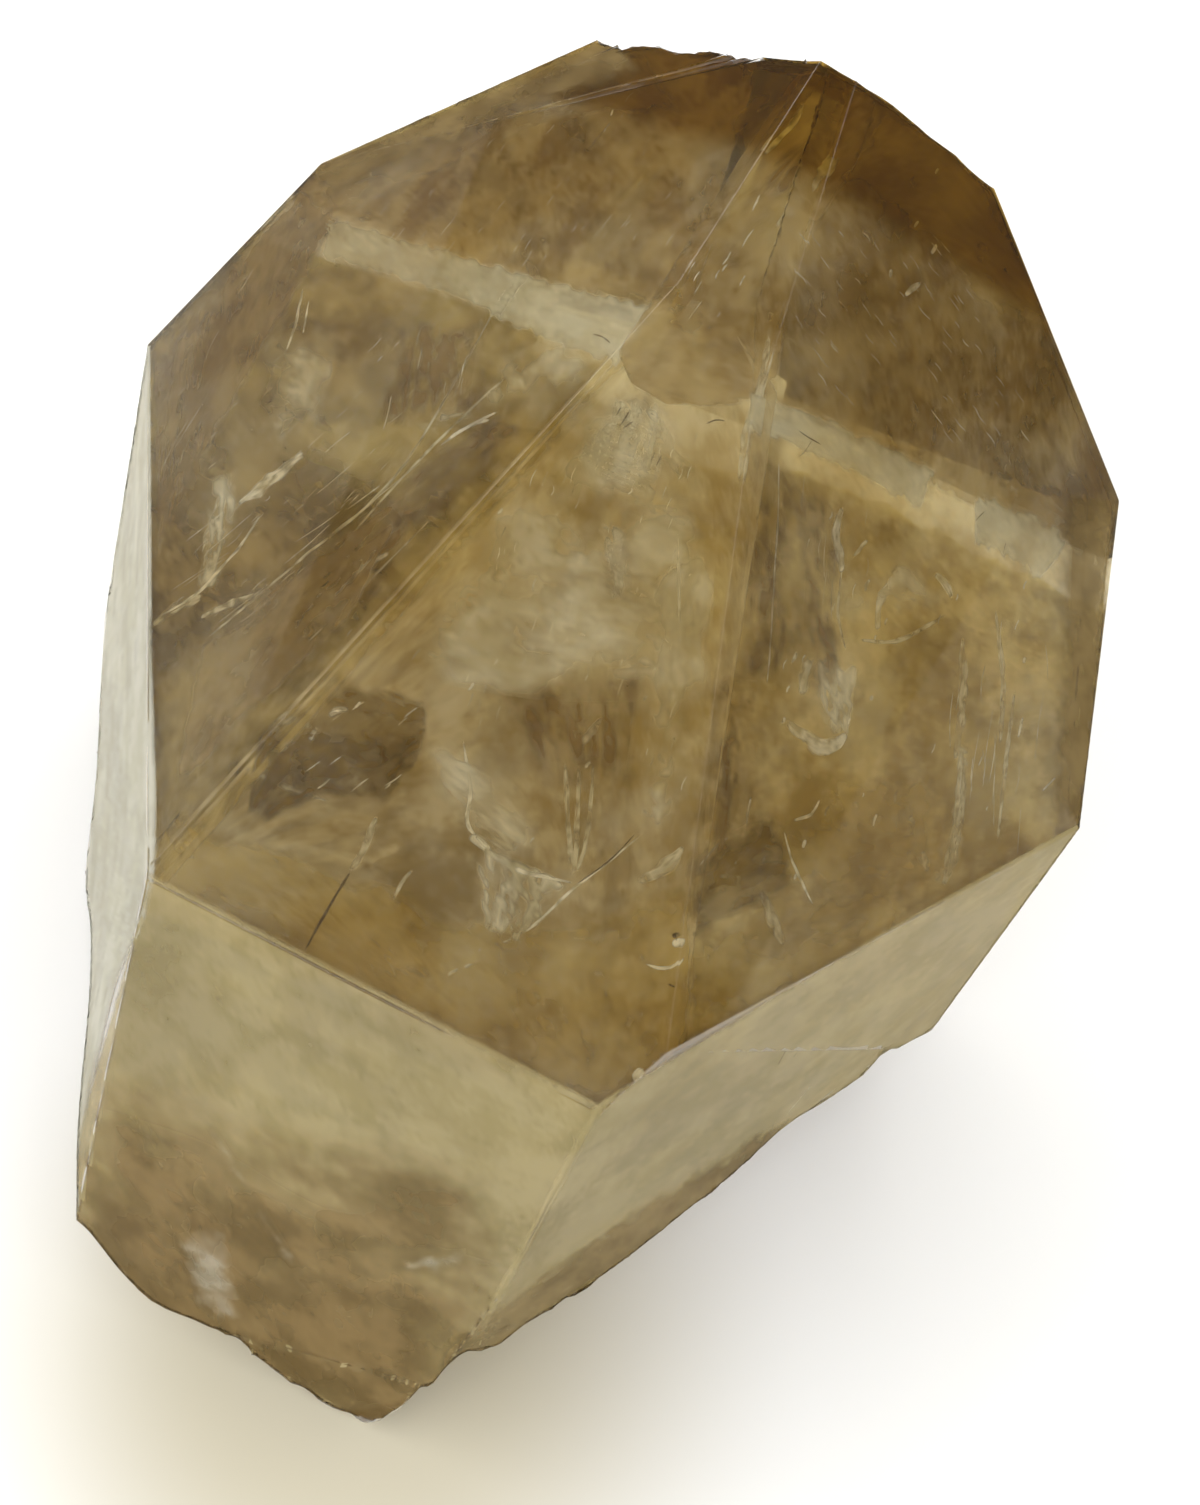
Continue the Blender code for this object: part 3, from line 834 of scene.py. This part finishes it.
VEILS = [
    # name, lines, dark and pale colour, thickest, then the rim and its jag, the grain along and
    # across the lines in millimetres, and the thinnest share
    # The four haze sheets under the faces are one haze in darker and paler copies: painted shade and painted
    # light.
    ("tip_haze_painted_shade", TIP_HAZE_PAINTED_SHADE, (0.335, 0.216, 0.043, 1), (0.605, 0.464, 0.205, 1), 0.8,
     (0.3, 0.2, 6, 6, 0.7)),
    ("left_haze_painted_shade", LEFT_HAZE_PAINTED_SHADE, (0.30, 0.205, 0.032, 1), (0.57, 0.44, 0.172, 1), 0.8, (0.3, 0.2, 7, 7, 0.7)),
    ("middle_haze_painted_light", MIDDLE_HAZE_PAINTED_LIGHT, (0.53, 0.40, 0.17, 1), (0.785, 0.67, 0.425, 1), 0.8,
     (0.3, 0.2, 8, 6, 0.75)),
    ("right_haze_painted_light", RIGHT_HAZE_PAINTED_LIGHT, (0.64, 0.485, 0.187, 1), (0.97, 0.82, 0.46, 1), 0.8,
     (0.3, 0.2, 7, 5, 0.7)),
    # Painted light along the bright bands.
    ("band_painted_light", BAND_PAINTED_LIGHT, (0.66, 0.63, 0.48, 1), (0.82, 0.82, 0.72, 1), 0.85, (0.5, 0.3, 3, 1.5, 0.6)),
    ("broken_panes", BROKEN_PANES, (0.62, 0.58, 0.42, 1), (0.92, 0.91, 0.82, 1), 0.9,
     (0.7, 0.5, 2.5, 0.5, 0.1)),
    ("pale_clouds", PALE_CLOUDS, (0.69, 0.63, 0.44, 1), (0.92, 0.91, 0.82, 1), 0.82, (2.6, 2.2, 4, 3, 0.35)),
    ("tan_panes", TAN_PANES, (0.32, 0.22, 0.08, 1), (0.44, 0.33, 0.14, 1), 0.75, (1.0, 0.5, 4, 3, 0.7)),
    ("amber_zones", AMBER_ZONES, (0.42, 0.29, 0.05, 1), (0.60, 0.45, 0.13, 1), 0.65, (1.5, 0.8, 6, 4, 0.75)),
    ("smoke_clouds", SMOKE_CLOUDS, (0.14, 0.075, 0.01, 1), (0.26, 0.16, 0.04, 1), 0.8,
     (1.8, 1.0, 6, 0.9, 0.35)),
    ("smoke_panes", SMOKE_PANES, (0.12, 0.065, 0.001, 1), (0.26, 0.16, 0.006, 1), 0.92,
     (0.9, 0.5, 3, 2, 0.6)),
    # Painted shade at the right side's foot, and brown along two outlines.
    ("brown_edges_and_foot_shade", BROWN_EDGES_AND_FOOT_SHADE, (0.12, 0.075, 0.018, 1), (0.20, 0.135, 0.045, 1), 0.85,
     (0.9, 0.5, 6, 3, 0.75)),
    # Painted shade at the front side's foot.
    ("foot_painted_shade", FOOT_PAINTED_SHADE, (0.12, 0.075, 0.02, 1), (0.20, 0.13, 0.045, 1), 0.85, (6.0, 2.0, 8, 5, 0.8)),
    ("tan_dust", TAN_DUST, (0.38, 0.31, 0.14, 1), (0.47, 0.39, 0.20, 1), 0.65, (0.4, 0.1, 10, 6, 0.8)),
    ("pale_spots", PALE_SPOTS, (0.40, 0.36, 0.26, 1), (0.50, 0.46, 0.36, 1), 0.5, (0.9, 0.5, 3, 0.8, 0.3)),
    ("pale_dust", PALE_DUST, (0.43, 0.41, 0.31, 1), (0.52, 0.50, 0.41, 1), 0.8, (0.4, 0.1, 8, 1.5, 0.8)),
]
FRAME_PER_MM = 16.0
DEPTH_WAVE = 0.12
WAVE_LENGTH = 60
JAG_NOISE = (0.8, 2.0, 4)
JAG_LENGTHS = 3
JAG_INSET = 0.3
GRAIN_NOISE = (0.45, 2.0, 6)
GRAIN_CONTRAST = 0.95
GRAIN_SPREAD = 20
PATCHES = 170
PATCH_SHIFT = Vector((9, 0, 0))
PATCH_NOISE = (0.4, 2.1, 6)
PATCH_CONTRAST = 0.8


def sheet(depth, first, second, rim, jag, along_grain, across_grain, thinnest):
    """A mottled film with a ragged rim between two lines: inside under a flat face, or on the skin."""
    near = [Vector((x, y, 0)) for x, y in first]
    far = [Vector((x, y, 0)) for x, y in second]
    long = (near[0] - near[-1]).length / FRAME_PER_MM
    broad = (near[len(near) // 2] - far[len(far) // 2]).length / FRAME_PER_MM

    middle = along(near, 0.5).lerp(along(far, 0.5), 0.5)
    skin, outward = seen_at(middle.x, middle.y, 0)

    def place_at(u, v):
        spot = along(near, u).lerp(along(far, u), v)
        if depth < 0:
            return seen_at(spot.x, spot.y, depth)[0]
        wave = DEPTH_WAVE * noise.noise(spot / WAVE_LENGTH)
        return under_face(spot, depth + wave, middle, skin, outward)

    def film_at(u, v, here):
        edge = min(min(u, 1 - u) * long, min(v, 1 - v) * broad)
        edge += jag * noise.fractal(here / (JAG_LENGTHS * jag * MM), *JAG_NOISE) - jag * JAG_INSET
        grain = Vector((u * long / along_grain, v * broad / across_grain, near[0].x / GRAIN_SPREAD))
        lumps = eased(0.5 + GRAIN_CONTRAST * noise.fractal(grain, *GRAIN_NOISE))
        patches = eased(0.5 + PATCH_CONTRAST * noise.fractal(here * PATCHES + PATCH_SHIFT, *PATCH_NOISE))
        return eased(edge / rim) * (thinnest + (1 - thinnest) * lumps), patches

    columns = min(MOST_CELLS, int(long * MM / SHEET_CELL) + SPARE_CELLS)
    rows = min(MOST_CELLS, int(broad * MM / SHEET_CELL) + SPARE_CELLS)
    return lay_film(columns, rows, place_at, film_at)


for name, lines, dark, pale, thickest, look in VEILS:
    inside([sheet(*line, *look) for line in lines], name, film_material(name, dark, pale, thickest))


# ---------------------------------------------------------------------------------------------
# Table and light. The crystal lies loose on a pale paper table. A painted pool of light round it fades to
# dark paper far away, and a warm painted shadow lies at its foot, standing in for its shadow tinted by its
# own colour. A white tent gives soft daylight from all round, brighter at the back left.
# ---------------------------------------------------------------------------------------------
TABLE_SIZE = 6.0
TABLE_GAP = 0.2 * MM
TABLE_PALE = (0.93, 0.925, 0.9, 1)
# Painted pool of light: the paper is pale near the crystal and darkens far from it.
TABLE_PAINTED_DARK = (0.28, 0.28, 0.27, 1)
# Painted shadow: the paper is warmer and darker round the crystal's foot, for its shadow tinted by its
# colour.
TABLE_PAINTED_SHADOW = (0.64, 0.59, 0.45, 1)
# Where and how far the painted shadow spreads.
FOOT_PLACE = (-17, -40, 0)
FOOT_SHADOW_SPREAD = (10, 40)
# Radii of the painted pool of light.
TABLE_LIGHT_POOL = (150, 500)
PAPER_ROUGHNESS = 0.9
# heights of the tent's bright ring, in thousandths of the way up
RING_FOOT = (200, 420)
RING_TOP = (720, 850)
BRIGHT_SIDE = (-0.77, 0.64, 0)
TENT_WIDTH = (-1000, 1000)
RING_BRIGHT = 3.5
RING_WEAK = 1.7
SKY_DIM = 0.15


def ball(tree, place, centre, core, edge):
    """1 inside the core radius round a centre, 0 past the edge radius."""
    gap = tree.nodes.new("ShaderNodeVectorMath")
    gap.operation = "DISTANCE"
    gap.inputs[1].default_value = Vector(centre) * MM
    tree.links.new(place, gap.inputs[0])
    return ramp(tree, gap.outputs["Value"], core * MM, edge * MM, 1.0, 0.0)


bpy.ops.object.select_all(action="DESELECT")
bpy.ops.mesh.primitive_plane_add(size=TABLE_SIZE, location=(0, 0, -TABLE_GAP))
table = bpy.context.object
table.name = "pale_table"
bpy.ops.object.transform_apply(location=True, rotation=True, scale=True)
table_paper = bpy.data.materials.new("pale_paper")
table_paper.use_nodes = True
paper = table_paper.node_tree.nodes["Principled BSDF"]
spot = table_paper.node_tree.nodes.new("ShaderNodeTexCoord").outputs["Object"]
# Painted pool of light, pale near the crystal and dark far away.
light_pool = ball(table_paper.node_tree, spot, (0, 0, 0), *TABLE_LIGHT_POOL)
shade = blend(table_paper.node_tree, light_pool, TABLE_PAINTED_DARK, TABLE_PALE)
# Painted shadow round the crystal's foot.
painted_shadow = ball(table_paper.node_tree, spot, FOOT_PLACE, *FOOT_SHADOW_SPREAD)
shade = blend(table_paper.node_tree, painted_shadow, shade, TABLE_PAINTED_SHADOW)
table_paper.node_tree.links.new(shade, paper.inputs["Base Color"])
paper.inputs["Roughness"].default_value = PAPER_ROUGHNESS
paper.inputs["Specular IOR Level"].default_value = 0.0
table.data.materials.append(table_paper)

sky = bpy.data.worlds.new("light_tent")
bpy.context.scene.world = sky
sky.use_nodes = True
# The tent is broad and even, so rays find it unaimed, in half the time.
sky.cycles.sampling_method = "NONE"
tent = sky.node_tree
direction = tent.nodes.new("ShaderNodeTexCoord").outputs["Generated"]
rises = beyond(tent, direction, (0, 0, 1), *RING_FOOT)
tops = beyond(tent, direction, (0, 0, 1), *RING_TOP)
ring = sum_of(tent, "SUBTRACT", rises, tops)
side = beyond(tent, direction, BRIGHT_SIDE, *TENT_WIDTH)
side = sum_of(tent, "MULTIPLY_ADD", side, RING_BRIGHT - RING_WEAK)
side.node.inputs[2].default_value = RING_WEAK
glow = sum_of(tent, "MULTIPLY", ring, side)
glow = sum_of(tent, "ADD", glow, SKY_DIM)
tent.links.new(glow, tent.nodes["Background"].inputs["Strength"])
tent.nodes["Background"].inputs["Color"].default_value = (1, 1, 1, 1)

bpy.context.scene.view_settings.view_transform = "Standard"
